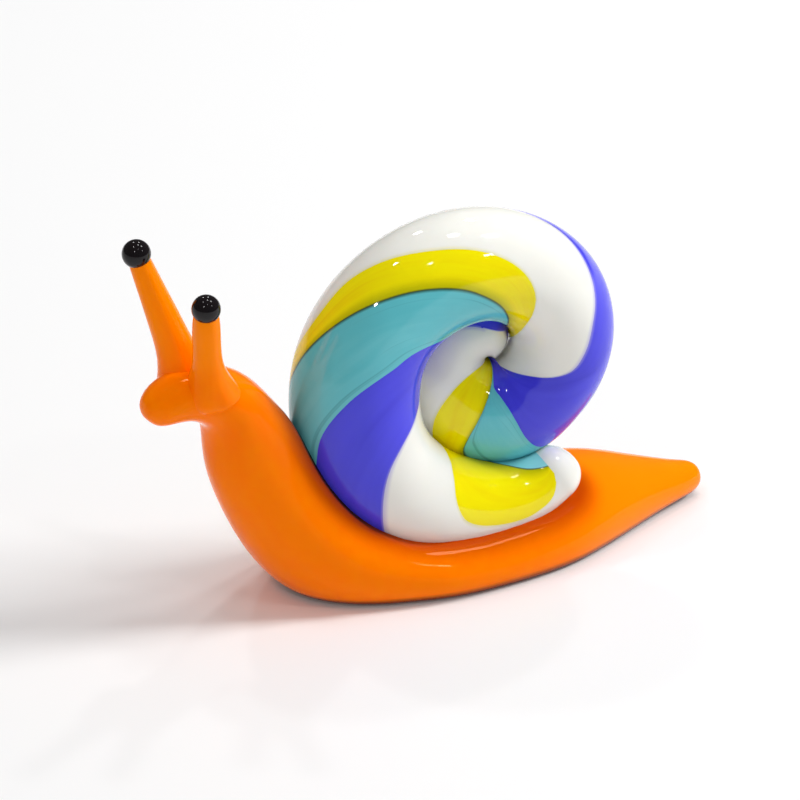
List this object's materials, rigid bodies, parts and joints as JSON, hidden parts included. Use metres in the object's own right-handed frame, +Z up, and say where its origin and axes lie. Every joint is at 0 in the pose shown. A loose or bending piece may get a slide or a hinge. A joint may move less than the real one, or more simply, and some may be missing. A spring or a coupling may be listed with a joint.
{
  "type": "glass snail figurine",
  "caption": "Lampworked glass snail ornament: an orange body with a flat sole, a coiled shell of twisted striped cane and eye stalks with black beads.",
  "frame": {"origin": "on the flat sole, straight under the centre of the shell's coil", "axes": "+X from the head toward the tail, +Y to the snail's left side, +Z up from the sole"},
  "size_m": [0.0525, 0.0176, 0.0333],
  "materials": {
    "orange_glass": "fire-polished opaque orange glass",
    "black_glass": "fire-polished black glass",
    "white_glass": "fire-polished opaque ivory-white glass",
    "violet_glass": "fire-polished opaque violet-blue glass",
    "turquoise_glass": "fire-polished opaque turquoise glass",
    "yellow_glass": "fire-polished opaque yellow glass"
  },
  "bodies": {
    "root": {"body": "orange_glass", "right_eye_stalk": "orange_glass", "left_eye_stalk": "orange_glass", "right_eye_bead": "black_glass", "left_eye_bead": "black_glass", "shell_core": "white_glass", "violet_stripe": "violet_glass", "turquoise_stripe": "turquoise_glass", "yellow_stripe": "yellow_glass"}
  },
  "joints": []
}
